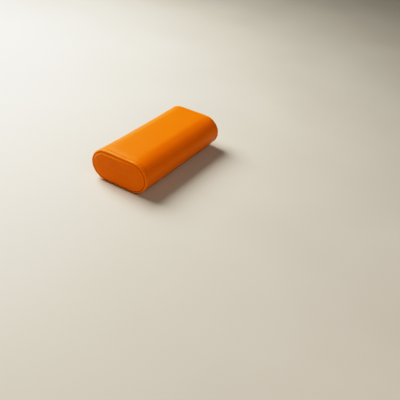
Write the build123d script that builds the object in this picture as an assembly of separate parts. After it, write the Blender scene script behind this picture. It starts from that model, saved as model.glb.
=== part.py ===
from build123d import *
import math
import os

# Flat-oval massage bolster: foam under a tight coated-fabric cover, all sizes in millimetres.
# The bolster lies along X on its flat base at z = 0, and the origin is the middle of that base.
# Its section across X is an oval: flat top and base, joined by two full rounds.
# One panel wraps the body. Its long edges meet at a zip halfway up the +Y round,
# and an oval panel is sewn into each end: "near" is the end at -X, "far" the end at +X.
# "Inset" is a depth measured inwards from the outer surface of the wrap.

# Overall size
LENGTH = 340.0  # from the end edge of the wrap to the other
WIDTH = 168.0
HEIGHT = 86.0

# Cover
COVER = 1.2  # thickness of the coated fabric
LAYER_GAP = 0.15  # room left between two soft layers that lie on each other
SEAM_ALLOWANCE = 10.0  # fabric turned in past a seam
CLOSING_SEAM_WIDTH = 0.4
CLOSING_SEAM_DEPTH = 0.6
RIM_ROLL = 4.0  # radius of the soft roll that each end of the wrap makes round its seam
PANEL_EDGE_ROUND = 1.1  # the fold at the rim of an end panel

# Filling
FIBRE = 5.0  # polyester wadding between the cover and the foam
SOFT_FOAM = 12.0  # comfort foam glued round the firm core
FOAM_JOINT = 0.8  # butt joint of the comfort foam, under the core
END_PAD = 10.0

# Sewing thread
THREAD = 0.55  # diameter
STITCH_PITCH = 4.0
STITCH_LENGTH = 3.0
TACK_PITCH = 0.7
TACK_COUNT = 7

# Zip: moulded on tape, with the elements facing out
ZIP_OPENING = 270.0  # length of the slot in the wrap
SLOT_HALF = 6.0  # from the middle of the zip to the folded lip of the slot
LIP_TURN = 9.0  # fabric folded in behind the lip
TAPE = 0.6
TAPE_EDGE = 1.5  # from the middle of the zip to the inner edge of each tape
TAPE_REACH = 14.0  # from the middle of the zip to the outer edge of each tape
TAPE_END = 4.0  # tape past each end of the slot
TOPSTITCH_FROM_LIP = 4.0

ELEMENT_PITCH = 2.0
ELEMENT_WIDTH = 0.85
ELEMENT_THICK = 1.8
ELEMENT_CROSS = 0.5  # how far an element reaches past the middle of the zip
CORD_INNER = 2.4  # the bead that the elements stand on, from the middle of the zip
CORD_OUTER = 3.4
CHAIN_MARGIN = 9.0  # from the end of the slot to the first element
ELEMENT_STEPS = 126

# Slider, parked at the near end of the zip with its mouth towards -X
SLIDER_LENGTH = 12.0
SLIDER_REAR_HALF = 4.9
SLIDER_MOUTH_HALF = 5.5
SLIDER_PLATE = 1.0
SLIDER_CORNER = 1.6
SLIDER_EDGE = 0.35
SLIDER_CLEAR = 0.2  # between the chain and the plate over it
FLANGE_LENGTH = 8.0
FLANGE_WIDTH = 1.0
FLANGE_DROP = 1.8
POST_LENGTH = 2.2
POST_WIDTH = 2.2
POST_BEFORE_CHAIN = 0.3

BAIL_LENGTH = 7.4
BAIL_WIDTH = 2.0
BAIL_THICK = 1.0
BAIL_RISE = 2.1  # clear height under the bail

TAB_THICK = 1.2
TAB_LENGTH = 26.0
TAB_WIDTH = 7.0
TAB_NECK = 6.0
TAB_EYE_LENGTH = 4.7
TAB_EYE_WIDTH = 3.2
TAB_SLOT_LENGTH = 9.0
TAB_SLOT_WIDTH = 3.0
TAB_LIFT = 0.45  # between the slider and the tab's pivot bar

STOP_LENGTH = 2.6
STOP_GAP = 0.1

# Worked out from the sizes above
ROUND_RADIUS = HEIGHT / 2
ROUND_CENTRE_Y = (WIDTH - HEIGHT) / 2
MID_HEIGHT = HEIGHT / 2
HALF_LENGTH = LENGTH / 2
HALF_OPENING = ZIP_OPENING / 2

FIBRE_INSET = COVER + LAYER_GAP
SOFT_FOAM_INSET = FIBRE_INSET + FIBRE + LAYER_GAP
CORE_INSET = SOFT_FOAM_INSET + SOFT_FOAM + LAYER_GAP

LIP_TURN_INSET = COVER + LAYER_GAP  # the edge of the slot, folded back under the wrap
LIP_TURN_END = LIP_TURN_INSET + COVER
RIM_TURN_END = RIM_ROLL + COVER  # the end of the wrap, turned in past its roll
PANEL_INSET = RIM_TURN_END + LAYER_GAP
PANEL_TURN_END = PANEL_INSET + COVER
END_PAD_INSET = PANEL_TURN_END + THREAD + 2 * LAYER_GAP
PAD_START = HALF_LENGTH - LAYER_GAP
FOAM_HALF = PAD_START - END_PAD - LAYER_GAP
FIBRE_HALF = HALF_LENGTH - SEAM_ALLOWANCE - LAYER_GAP
RIM_FILL_HALF = HALF_LENGTH - RIM_ROLL

TAPE_INSET = LIP_TURN_END + LAYER_GAP
TAPE_OUTER_Y = ROUND_CENTRE_Y + ROUND_RADIUS - TAPE_INSET
TAPE_INNER_Y = TAPE_OUTER_Y - TAPE
CHAIN_BASE_Y = TAPE_OUTER_Y + 0.05
CHAIN_TOP_Y = CHAIN_BASE_Y + ELEMENT_THICK
CHAIN_START = -HALF_OPENING + CHAIN_MARGIN
CHAIN_END = CHAIN_START + ELEMENT_STEPS * ELEMENT_PITCH

SLIDER_FRONT = CHAIN_START - POST_BEFORE_CHAIN - POST_LENGTH
SLIDER_REAR = SLIDER_FRONT + SLIDER_LENGTH
SLIDER_TOP_Y = CHAIN_TOP_Y + SLIDER_CLEAR + SLIDER_PLATE
SLIDER_UNDER_Y = TAPE_INNER_Y - 0.5  # the tape curves away from its middle
BAIL_X = (SLIDER_FRONT + SLIDER_REAR) / 2
PIVOT_Y = SLIDER_TOP_Y + TAB_LIFT + TAB_THICK / 2


def oval(inset):
    """The bolster's section, taken in by the inset, on a plane across X through the origin."""
    section = SlotOverall(WIDTH - 2 * inset, HEIGHT - 2 * inset)
    return Plane(origin=(0, 0, MID_HEIGHT), x_dir=(0, 1, 0), z_dir=(1, 0, 0)) * section


def oval_prism(inset, x_start, x_end):
    return Pos(x_start, 0, 0) * extrude(oval(inset), x_end - x_start)


def oval_tube(outer_inset, inner_inset, x_start, x_end):
    return oval_prism(outer_inset, x_start, x_end) - oval_prism(inner_inset, x_start, x_end)


def round_angle(height, inset=0.0):
    """Angle on the +Y round, from its middle, of a point that far above the middle."""
    return math.degrees(math.asin(height / (ROUND_RADIUS - inset)))


def round_strip(outer_inset, inner_inset, from_angle, to_angle, x_start, x_end):
    """A curved strip along X on the +Y round, between two insets and two angles."""
    size = to_angle - from_angle
    outer = CenterArc((0, 0), ROUND_RADIUS - outer_inset, from_angle, size)
    inner = CenterArc((0, 0), ROUND_RADIUS - inner_inset, from_angle, size)
    face = make_face([outer, inner, Line(outer @ 0, inner @ 0), Line(outer @ 1, inner @ 1)])
    plane = Plane(origin=(x_start, ROUND_CENTRE_Y, MID_HEIGHT), x_dir=(0, 1, 0), z_dir=(1, 0, 0))
    return extrude(plane * face, x_end - x_start)


def block(x_start, x_end, y_start, y_end, z_start, z_end):
    """A box between two x, two y and two z positions, the z positions from mid-height."""
    box = Box(x_end - x_start, y_end - y_start, z_end - z_start, align=Align.MIN)
    return Pos(x_start, y_start, MID_HEIGHT + z_start) * box


def stitch(position, direction, length=STITCH_LENGTH):
    """One visible stretch of sewing thread, centred on a point."""
    return Plane(origin=position, z_dir=direction) * Cylinder(THREAD / 2, length)


def flipped_end(shape):
    """The same piece for the other end of the bolster."""
    return mirror(shape, Plane.YZ)


def flipped_height(shape):
    """The same piece for the other side of the zip."""
    return mirror(shape, Plane(origin=(0, 0, MID_HEIGHT), x_dir=(1, 0, 0), z_dir=(0, 0, 1)))


# Filling


def foam_core():
    return oval_prism(CORE_INSET, -FOAM_HALF, FOAM_HALF)


def soft_foam_wrap():
    """Comfort foam bent round the core, with its edges butted under the core."""
    tube = oval_tube(SOFT_FOAM_INSET, CORE_INSET - LAYER_GAP, -FOAM_HALF, FOAM_HALF)
    joint = Box(LENGTH, FOAM_JOINT, HEIGHT, align=(Align.CENTER, Align.CENTER, Align.MAX))
    return tube - Pos(0, 0, MID_HEIGHT) * joint


def fibre_wrap():
    """Wadding round the foam, cut back from the zip so that the slider can't catch it.

    Its thinner ends fill the roll at each end of the cover.
    """
    tube = oval_tube(FIBRE_INSET, FIBRE_INSET + FIBRE, -FIBRE_HALF, FIBRE_HALF)
    tube += oval_tube(FIBRE_INSET, RIM_ROLL - LAYER_GAP, -RIM_FILL_HALF, RIM_FILL_HALF)
    gap = round_angle(TAPE_REACH + 2.0)
    return tube - round_strip(0, FIBRE_INSET + FIBRE + 1, -gap, gap, -HALF_LENGTH, HALF_LENGTH)


def fibre_end_pad():
    return oval_prism(END_PAD_INSET, FOAM_HALF + LAYER_GAP, PAD_START)


# Cover


def rolled_prism(inset, half_length, roll):
    """The bolster's body, taken in by the inset, with both end edges rounded."""
    body = oval_prism(inset, -half_length, half_length)
    ends = [e for e in body.edges() if abs(e.center().X) > half_length - 0.01]
    return fillet(ends, roll)


def wrap_turning():
    """The allowance of the wrap's end at +X, turned in past the roll."""
    return oval_tube(RIM_ROLL, RIM_TURN_END, HALF_LENGTH - SEAM_ALLOWANCE, HALF_LENGTH - COVER / 2)


def slot_lip():
    """The edge above the zip, folded in and laid back behind the wrap."""
    lip = round_angle(SLOT_HALF)
    fold_end = round_angle(SLOT_HALF + COVER)
    turn_end = round_angle(SLOT_HALF + LIP_TURN)
    reach = (-HALF_OPENING, HALF_OPENING)
    fold = round_strip(0, LIP_TURN_END, lip, fold_end, *reach)
    return fold + round_strip(LIP_TURN_INSET, LIP_TURN_END, lip, turn_end, *reach)


def closing_seam_groove():
    """The line where the wrap's long edges are sewn together between the zip and the far end."""
    half = round_angle(CLOSING_SEAM_WIDTH / 2)
    return round_strip(-1, CLOSING_SEAM_DEPTH, -half, half, HALF_OPENING - 1, HALF_LENGTH + 1)


def cover_wrap():
    inside = rolled_prism(COVER, HALF_LENGTH - COVER, RIM_ROLL - COVER)
    wrap = rolled_prism(0, HALF_LENGTH, RIM_ROLL) - inside
    wrap -= oval_prism(RIM_TURN_END, -HALF_LENGTH - 1, HALF_LENGTH + 1)
    turning = wrap_turning()
    wrap += turning + flipped_end(turning)
    lip_angle = round_angle(SLOT_HALF)
    slot = round_strip(-1, COVER + 1, -lip_angle, lip_angle, -HALF_OPENING, HALF_OPENING)
    lip = slot_lip()
    groove = closing_seam_groove()
    return wrap - slot + lip + flipped_height(lip) - groove - flipped_end(groove)


def end_panel():
    """The oval panel at +X, with its allowance turned in under the wrap's."""
    panel = oval_prism(PANEL_INSET, HALF_LENGTH - SEAM_ALLOWANCE, HALF_LENGTH + COVER)
    rim = [e for e in panel.edges() if e.center().X > HALF_LENGTH + COVER - 0.01]
    hollow = oval_prism(PANEL_TURN_END, HALF_LENGTH - SEAM_ALLOWANCE, HALF_LENGTH)
    return fillet(rim, PANEL_EDGE_ROUND) - hollow


def end_seam_thread():
    """Stitches through the turned-in edges at +X, on the inner side of the allowance."""
    seam = oval(PANEL_TURN_END + THREAD / 2 + LAYER_GAP / 2).wire()
    seam = Pos(HALF_LENGTH - 2 * COVER, 0, 0) * seam
    count = round(seam.length / STITCH_PITCH)
    places = [i / count for i in range(count)]
    return Compound(children=[stitch(seam.position_at(u), seam.tangent_at(u)) for u in places])


def closing_seam_thread():
    """Stitches behind the short seams that close the wrap past each end of the zip."""
    y = ROUND_CENTRE_Y + ROUND_RADIUS - COVER - THREAD / 2 - LAYER_GAP / 2
    first = HALF_OPENING + TAPE_END + STITCH_PITCH
    last = HALF_LENGTH - SEAM_ALLOWANCE - STITCH_LENGTH
    count = int((last - first) / STITCH_PITCH) + 1
    places = [first + STITCH_PITCH * i for i in range(count)]
    stitches = [stitch((side * x, y, MID_HEIGHT), (1, 0, 0)) for side in (-1, 1) for x in places]
    return Compound(children=stitches)


# Zip


def zip_tape():
    """The upper tape."""
    reach = HALF_OPENING + TAPE_END
    inner_edge = round_angle(TAPE_EDGE, TAPE_INSET)
    outer_edge = round_angle(TAPE_REACH, TAPE_INSET)
    return round_strip(TAPE_INSET, TAPE_INSET + TAPE, inner_edge, outer_edge, -reach, reach)


def zip_elements(side, first_x):
    """One row of elements on its bead. Side is 1 above the middle of the zip and -1 below."""
    cord = Pos((CHAIN_START + CHAIN_END) / 2, side * (CORD_INNER + CORD_OUTER) / 2) * Rectangle(
        CHAIN_END - CHAIN_START, CORD_OUTER - CORD_INNER
    )
    tooth_length = CORD_INNER + ELEMENT_CROSS + 0.4
    tooth = SlotOverall(tooth_length, ELEMENT_WIDTH, rotation=90)
    tooth_z = side * (tooth_length / 2 - ELEMENT_CROSS)
    count = int((CHAIN_END - first_x) / ELEMENT_PITCH)
    row = cord + [Pos(first_x + ELEMENT_PITCH * i, tooth_z) * tooth for i in range(count)]
    # a plane whose first axis is X, second axis Z, and normal -Y
    plane = Plane(origin=(0, CHAIN_TOP_Y, MID_HEIGHT), x_dir=(1, 0, 0), z_dir=(0, -1, 0))
    return extrude(plane * row, ELEMENT_THICK)


def zip_top_stops():
    """A clip on the edge of each tape, just past the slider's mouth."""
    x_end = SLIDER_FRONT - STOP_GAP
    x_start = x_end - STOP_LENGTH
    outer = block(x_start, x_end, CHAIN_BASE_Y, CHAIN_BASE_Y + 1.2, 0.7, CORD_OUTER)
    inner = block(x_start, x_end, SLIDER_UNDER_Y - 0.4, SLIDER_UNDER_Y, 0.7, CORD_OUTER)
    web = block(x_start, x_end, SLIDER_UNDER_Y, CHAIN_BASE_Y, 0.7, TAPE_EDGE - 0.1)
    clip = outer + web + inner
    return Compound(children=[clip, flipped_height(clip)])


def zip_bottom_stop():
    """One clip across both tapes, past the last element."""
    x_start = CHAIN_END + STOP_GAP
    x_end = x_start + STOP_LENGTH
    half = CORD_OUTER
    outer = block(x_start, x_end, CHAIN_BASE_Y, CHAIN_TOP_Y, -half, half)
    inner = block(x_start, x_end, SLIDER_UNDER_Y - 0.6, SLIDER_UNDER_Y, -half, half)
    web_half = TAPE_EDGE - 0.1
    return outer + inner + block(x_start, x_end, SLIDER_UNDER_Y, CHAIN_BASE_Y, -web_half, web_half)


def zip_topstitch():
    """The row of stitches above the zip, through the wrap, its lip and the tape."""
    angle = math.radians(round_angle(SLOT_HALF + TOPSTITCH_FROM_LIP))
    y = ROUND_CENTRE_Y + ROUND_RADIUS * math.cos(angle)
    z = MID_HEIGHT + ROUND_RADIUS * math.sin(angle)
    count = int(ZIP_OPENING / STITCH_PITCH)
    first = -STITCH_PITCH * (count - 1) / 2
    places = [first + STITCH_PITCH * i for i in range(count)]
    return Compound(children=[stitch((x, y, z), (1, 0, 0)) for x in places])


def zip_end_tacks():
    """Close rows of thread across both ends of the slot, where the zip pulls hardest."""
    tack_z = SLOT_HALF + TOPSTITCH_FROM_LIP
    path_radius = ROUND_RADIUS
    half_angle = round_angle(tack_z)
    threads = []
    for side in (-1, 1):
        for i in range(TACK_COUNT):
            x = side * (HALF_OPENING + 1.0 + TACK_PITCH * i)
            centre = Plane(origin=(x, ROUND_CENTRE_Y, MID_HEIGHT), x_dir=(0, 1, 0), z_dir=(1, 0, 0))
            path = centre * CenterArc((0, 0), path_radius, -half_angle, 2 * half_angle)
            section = Plane(origin=path @ 0, z_dir=path % 0) * Circle(THREAD / 2)
            threads.append(sweep(section, path))
    return Compound(children=threads)


# Slider


def slider_outline():
    """The shield shape of both plates, seen square on: first axis X, second axis Z."""
    corners = [
        (SLIDER_FRONT, -SLIDER_MOUTH_HALF),
        (SLIDER_REAR, -SLIDER_REAR_HALF),
        (SLIDER_REAR, SLIDER_REAR_HALF),
        (SLIDER_FRONT, SLIDER_MOUTH_HALF),
    ]
    shield = make_face(Polyline(*corners, close=True))
    return fillet(shield.vertices(), SLIDER_CORNER)


def plate(outline, y_start, y_end):
    """An outline in X and Z, from mid-height, made solid between two y positions."""
    plane = Plane(origin=(0, y_end, MID_HEIGHT), x_dir=(1, 0, 0), z_dir=(0, -1, 0))
    return extrude(plane * outline, y_end - y_start)


def slider_body():
    """Two plates joined by the post that parts the two rows of elements."""
    outline = slider_outline()
    over_y = SLIDER_TOP_Y - SLIDER_PLATE
    over = plate(outline, over_y, SLIDER_TOP_Y)
    over = fillet(over.faces().sort_by(Axis.Y)[-1].edges(), SLIDER_EDGE)
    under = plate(outline, SLIDER_UNDER_Y - SLIDER_PLATE, SLIDER_UNDER_Y)
    post = block(
        SLIDER_FRONT + 0.3,
        SLIDER_FRONT + POST_LENGTH,
        SLIDER_UNDER_Y,
        over_y,
        -POST_WIDTH / 2,
        POST_WIDTH / 2,
    )
    flange_start = SLIDER_REAR - SLIDER_CORNER - FLANGE_LENGTH
    flange = block(
        flange_start,
        SLIDER_REAR - SLIDER_CORNER,
        over_y - FLANGE_DROP,
        over_y,
        SLIDER_REAR_HALF - FLANGE_WIDTH,
        SLIDER_REAR_HALF,
    )
    return over + under + post + flange + flipped_height(flange)


def slider_bail():
    """The loop on the slider that holds the pull tab."""
    top_y = SLIDER_TOP_Y + BAIL_RISE + BAIL_THICK
    half = BAIL_LENGTH / 2
    loop = block(BAIL_X - half, BAIL_X + half, SLIDER_TOP_Y, top_y, -BAIL_WIDTH / 2, BAIL_WIDTH / 2)
    shoulders = loop.edges().filter_by(Axis.Z).sort_by(Axis.Y)[-2:]
    loop = fillet(shoulders, BAIL_THICK)
    inside = half - BAIL_THICK
    under = block(
        BAIL_X - inside, BAIL_X + inside, SLIDER_TOP_Y, SLIDER_TOP_Y + BAIL_RISE, -BAIL_WIDTH, BAIL_WIDTH
    )
    return loop - under


def pull_tab():
    """The tab lies back over the closed zip. Its bar turns under the bail."""
    neck_x = BAIL_X + TAB_EYE_LENGTH + 1.6
    tail_x = BAIL_X + TAB_LENGTH
    eye_end = BAIL_X + TAB_EYE_LENGTH
    body = Pos((BAIL_X + tail_x) / 2, 0) * RectangleRounded(TAB_LENGTH, TAB_WIDTH, 2.4)
    waist = Pos((neck_x + tail_x) / 2 + 1.5, 0)
    grip = waist * SlotOverall(TAB_SLOT_LENGTH, TAB_SLOT_WIDTH)
    eye = Pos((BAIL_X + eye_end) / 2, 0) * Rectangle(TAB_EYE_LENGTH, TAB_EYE_WIDTH)
    bar = Plane(origin=(BAIL_X, PIVOT_Y, MID_HEIGHT), z_dir=(0, 0, 1)) * Cylinder(
        TAB_THICK / 2, TAB_NECK
    )
    tab = plate(body - grip - eye, PIVOT_Y - TAB_THICK / 2, PIVOT_Y + TAB_THICK / 2)
    # nothing of the flat tab stays on the slider's side of the bar
    behind = block(
        BAIL_X - TAB_WIDTH, BAIL_X, PIVOT_Y - TAB_THICK, PIVOT_Y + TAB_THICK, -TAB_WIDTH, TAB_WIDTH
    )
    return tab - behind + bar


PIECES = {
    "foam_core": foam_core,
    "soft_foam_wrap": soft_foam_wrap,
    "fibre_wrap": fibre_wrap,
    "fibre_end_pad_near": lambda: flipped_end(fibre_end_pad()),
    "fibre_end_pad_far": fibre_end_pad,
    "cover_wrap": cover_wrap,
    "end_panel_near": lambda: flipped_end(end_panel()),
    "end_panel_far": end_panel,
    "end_seam_thread_near": lambda: flipped_end(end_seam_thread()),
    "end_seam_thread_far": end_seam_thread,
    "closing_seam_thread": closing_seam_thread,
    "zip_tape_upper": zip_tape,
    "zip_tape_lower": lambda: flipped_height(zip_tape()),
    "zip_elements_upper": lambda: zip_elements(1, CHAIN_START + ELEMENT_PITCH / 2),
    "zip_elements_lower": lambda: zip_elements(-1, CHAIN_START + ELEMENT_PITCH),
    "zip_top_stops": zip_top_stops,
    "zip_bottom_stop": zip_bottom_stop,
    "zip_topstitch_upper": zip_topstitch,
    "zip_topstitch_lower": lambda: flipped_height(zip_topstitch()),
    "zip_end_tacks": zip_end_tacks,
    "slider_body": slider_body,
    "slider_bail": slider_bail,
    "pull_tab": pull_tab,
}

os.makedirs("parts", exist_ok=True)
for name, make in PIECES.items():
    export_step(make(), f"parts/{name}.step")
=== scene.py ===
import math

import bpy
import numpy as np
from mathutils import Matrix, Vector


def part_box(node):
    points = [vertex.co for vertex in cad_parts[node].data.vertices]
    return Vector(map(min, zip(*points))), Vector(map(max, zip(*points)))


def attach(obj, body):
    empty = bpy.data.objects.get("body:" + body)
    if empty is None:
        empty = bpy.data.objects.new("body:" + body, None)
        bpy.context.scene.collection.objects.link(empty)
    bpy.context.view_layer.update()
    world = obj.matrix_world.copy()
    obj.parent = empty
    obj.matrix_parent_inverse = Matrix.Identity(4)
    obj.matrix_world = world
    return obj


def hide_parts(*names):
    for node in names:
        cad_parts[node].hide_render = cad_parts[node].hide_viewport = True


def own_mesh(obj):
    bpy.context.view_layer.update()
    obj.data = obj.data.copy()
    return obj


# A flat-oval massage bolster in orange coated fabric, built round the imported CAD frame.
# Shapes are worked out in millimetres and put into metres when a mesh is made.
# s is the distance round the cover from the middle of the zip, up and over the top.
# "Depth" is measured inwards from the cover's nominal surface.

MM = 0.001
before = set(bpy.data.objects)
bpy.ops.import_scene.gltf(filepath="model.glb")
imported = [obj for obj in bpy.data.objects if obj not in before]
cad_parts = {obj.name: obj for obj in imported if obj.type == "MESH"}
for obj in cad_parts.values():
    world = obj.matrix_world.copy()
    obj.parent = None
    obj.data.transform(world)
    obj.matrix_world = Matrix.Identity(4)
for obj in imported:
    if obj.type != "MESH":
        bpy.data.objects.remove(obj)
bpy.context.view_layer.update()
scene = bpy.context.scene


def node_box(name):
    low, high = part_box(name)
    return np.array(low) / MM, np.array(high) / MM


# Sizes, taken from the frame where it has them
cover_low, cover_high = node_box("cover_wrap")
HALF_LENGTH = cover_high[0]
HEIGHT = cover_high[2] - cover_low[2]
RADIUS = HEIGHT / 2
MID = HEIGHT / 2
HALF_STRAIGHT = -cover_low[1] - RADIUS
QUARTER = math.pi * RADIUS / 2
PERIMETER = 4 * QUARTER + 4 * HALF_STRAIGHT
PANEL_OUT = node_box("end_panel_far")[1][0] - HALF_LENGTH  # how far an end panel stands out
PANEL_DEPTH = HEIGHT - node_box("end_panel_far")[1][2]  # of its rim, inside the wrap's roll
RIM_ROLL = PANEL_DEPTH - 1.4  # radius of the soft roll round each end of the wrap
END_PUFF = 1.4  # how far the stuffing pushes the ends out
SLOT_HALF = 6.0  # half the height of the zip's slot
SEAM_GAP = 0.06  # half the gap between the folded edges where a seam closes them
TAPE_REACH = node_box("zip_tape_upper")[1][2] - MID
SLOT_TAPER = (128.5, 139.0)  # |x| between which the slot narrows into the closing seam
STITCH_HEIGHT = 10.0  # of the zip's stitch rows, from the middle of the zip
STITCH_LINE = RADIUS * math.asin(STITCH_HEIGHT / RADIUS)
STITCH_PITCH = 4.0
STITCH_COUNT = 67
STITCH_SPAN = STITCH_COUNT * STITCH_PITCH / 2
TACK_START = 136.0  # |x| of the first tack thread
FABRIC_THICKNESS = 1.0
ALLOWANCE_STEP = 11.2  # from each end of the wrap to the step past the turned-in fabric's cut edge
END_LIFT = 2.0  # how far the base rises at the ends
END_RISE = (105, 172)  # |x| over which it rises


# ---- meshes


def add_object(name, data):
    made = bpy.data.objects.new(name, data)
    scene.collection.objects.link(made)
    return made


class Shape:
    """Points in millimetres and faces, gathered part by part."""

    def __init__(self):
        self.points, self.faces, self.count = [], [], 0

    def add(self, points, faces):
        points = np.asarray(points, float).reshape(-1, 3)
        self.points.append(points)
        self.faces += [tuple(int(i) + self.count for i in face) for face in faces]
        self.count += len(points)
        return self


def piece(name, shape, look, node, body="cushion", sharp=None, values=None):
    """A finished piece that stands for a CAD node. values holds numbers per point, for its material."""
    material, slot = look
    mesh = bpy.data.meshes.new(name)
    mesh.from_pydata((np.concatenate(shape.points) * MM).tolist(), [], shape.faces)
    mesh.validate()
    for key, data in (values or {}).items():
        mesh.attributes.new(key, "FLOAT", "POINT").data.foreach_set("value", np.clip(data, 0, 1).ravel())
    mesh.polygons.foreach_set("use_smooth", [True] * len(mesh.polygons))
    if sharp is not None:
        mesh.set_sharp_from_angle(angle=math.radians(sharp))
    made = add_object(name, mesh)
    mesh.materials.append(material)
    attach(made, body)
    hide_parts(node)
    return made


def grid_faces(rows, columns, closed=False, flip=False):
    """Quads of a grid whose point (row, column) has index row * columns + column."""
    across = np.arange(columns if closed else columns - 1)
    row, column = (a.ravel() for a in np.meshgrid(np.arange(rows - 1), across, indexing="ij"))
    after = (column + 1) % columns
    corners = [row * columns + column, row * columns + after]
    corners += [(row + 1) * columns + after, (row + 1) * columns + column]
    faces = np.stack(corners[::-1] if flip else corners, 1)
    return faces.tolist()


def surface(x, y, z):
    """Points of a grid, where x may have a row or a column only."""
    return np.stack([np.broadcast_to(x, y.shape), y, z], 2)


def closing_strip(start, columns, flip=False):
    """Quads that close an oval ring whose column j mirrors column columns - 1 - j."""
    faces = []
    for j in range(columns // 2 - 1):
        face = [start + j, start + j + 1, start + columns - 2 - j, start + columns - 1 - j]
        faces.append(face[::-1] if flip else face)
    return faces


def tube(path, radii, sides=8, flat=(1.0, 1.0), up=(0, 1, 0)):
    """A closed tube along a path. flat scales its section across up and along it."""
    path = np.asarray(path, float)
    tangent = np.gradient(path, axis=0)
    tangent /= np.linalg.norm(tangent, axis=1)[:, None]
    side = np.cross(tangent, np.asarray(up, float))
    side /= np.linalg.norm(side, axis=1)[:, None]
    lift = np.cross(side, tangent)
    turn = np.arange(sides) * 2 * math.pi / sides
    ring = np.cos(turn)[None, :, None] * side[:, None] * flat[0]
    ring = ring + np.sin(turn)[None, :, None] * lift[:, None] * flat[1]
    points = path[:, None] + ring * np.broadcast_to(radii, len(path))[:, None, None]
    faces = grid_faces(len(path), sides, closed=True, flip=True)
    last = (len(path) - 1) * sides
    faces += [list(range(sides)), list(range(last, last + sides))[::-1]]
    return points.reshape(-1, 3), faces


def outline_slab(outlines, y_start, y_end, edge):
    """A flat plate with rounded edges. Outlines are in X and Z, the first outside and the others holes."""
    curve = bpy.data.curves.new("outline", "CURVE")
    curve.dimensions = "2D"
    curve.fill_mode = "BOTH"
    curve.extrude = (y_end - y_start) / 2 - edge
    curve.bevel_depth = edge
    curve.bevel_resolution = 2
    curve.offset = -edge
    for outline in outlines:
        spline = curve.splines.new("POLY")
        spline.points.add(len(outline) - 1)
        for point, (x, z) in zip(spline.points, outline):
            point.co = (x, z, 0, 1)
        spline.use_cyclic_u = True
    made = bpy.data.objects.new("outline", curve)
    mesh = bpy.data.meshes.new_from_object(made)
    flat = np.array([v.co for v in mesh.vertices], float)
    points = np.stack([flat[:, 0], (y_start + y_end) / 2 - flat[:, 2], flat[:, 1] + MID], 1)
    faces = [list(p.vertices) for p in mesh.polygons]
    bpy.data.objects.remove(made)
    bpy.data.curves.remove(curve)
    bpy.data.meshes.remove(mesh)
    return points, faces


def rounded_outline(corners, radii, steps=6):
    """Corners, counter-clockwise, each rounded with its radius."""
    points = []
    for i, corner in enumerate(corners):
        corner = np.array(corner, float)
        before = np.array(corners[i - 1], float) - corner
        after = np.array(corners[(i + 1) % len(corners)], float) - corner
        before, after = before / np.linalg.norm(before), after / np.linalg.norm(after)
        half = math.acos(np.clip(before @ after, -1, 1)) / 2
        radius = radii[i] if hasattr(radii, "__len__") else radii
        middle = (before + after) / np.linalg.norm(before + after)
        centre = corner + middle * radius / math.sin(half)
        start = corner + before * radius / math.tan(half) - centre
        end = corner + after * radius / math.tan(half) - centre
        sweep = math.atan2(start[0] * end[1] - start[1] * end[0], start @ end)
        for k in range(steps + 1):
            a = sweep * k / steps
            c, s = math.cos(a), math.sin(a)
            points.append(centre + [start[0] * c - start[1] * s, start[0] * s + start[1] * c])
    return points


def box_corners(x_start, x_end, z_start, z_end):
    return [(x_start, z_start), (x_end, z_start), (x_end, z_end), (x_start, z_end)]


# ---- the oval section


def oval(s, depth):
    """Y and Z of a point on the section, at a distance round it and a depth."""
    s = np.mod(s, PERIMETER)
    straight = 2 * HALF_STRAIGHT
    turned = np.clip(s, 0, QUARTER) + np.clip(s - QUARTER - straight, 0, 2 * QUARTER)
    turned = turned + np.clip(s - 3 * QUARTER - 2 * straight, 0, QUARTER)
    angle = turned / RADIUS
    y = HALF_STRAIGHT - np.clip(s - QUARTER, 0, straight)
    y = y + np.clip(s - 3 * QUARTER - straight, 0, straight)
    return y + np.cos(angle) * (RADIUS - depth), MID + np.sin(angle) * (RADIUS - depth)


def column_middles(count):
    """Distances round the section to the middles of equal columns."""
    return (np.arange(count) + 0.5) * PERIMETER / count


def smooth(low, high, value):
    t = np.clip((value - low) / (high - low), 0, 1)
    return t * t * (3 - 2 * t)


def bump(value, centre, width):
    return np.exp(-(((value - centre) / width) ** 2))


def roundness(s):
    """1 on the two rounds and 0 on the flat top and base, with a soft change between them."""
    from_zip_middle = np.abs(np.mod(s + PERIMETER / 2, PERIMETER) - PERIMETER / 2)
    from_other_middle = PERIMETER / 2 - from_zip_middle
    return smooth(QUARTER + 12, QUARTER - 12, np.minimum(from_zip_middle, from_other_middle))


def lifted(x, z):
    """Heights of points near the base, which rises a little off the floor towards the ends."""
    return np.maximum(z, 0) + END_LIFT * smooth(*END_RISE, np.abs(x)) * (1 - smooth(0, HEIGHT / 2, z))


def waves(s, x, seed, shortest, longest, count=9):
    """Smooth unevenness between about -1 and 1 that closes on itself round the cover."""
    rng = np.random.RandomState(seed)
    total = 0
    for _ in range(count):
        length = rng.uniform(shortest, longest)
        direction = rng.uniform(0, math.pi)
        round_it = round(PERIMETER * math.cos(direction) / length)
        phase = round_it * 2 * math.pi * s / PERIMETER
        phase = phase + 2 * math.pi * math.sin(direction) * x / length + rng.uniform(0, 6.28)
        total = total + np.cos(phase)
    return total / math.sqrt(count * 2)


# ---- cloth simulation of the stuffed cover

SIM_COLUMNS = 72
SIM_ROWS = 57
SIM_RINGS = 8
CAP_CORE = 41.5  # depth of the innermost ring of an end cap
SIM_FRAMES = 20
SIM_PRESSURE = 4.0
CROWN = 2.0  # the most that the filling rounds the flat top
DOME = 2.6  # the most that it rounds an end panel
DOME_GAIN = 2.4  # scales the simulated push of an end panel


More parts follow.
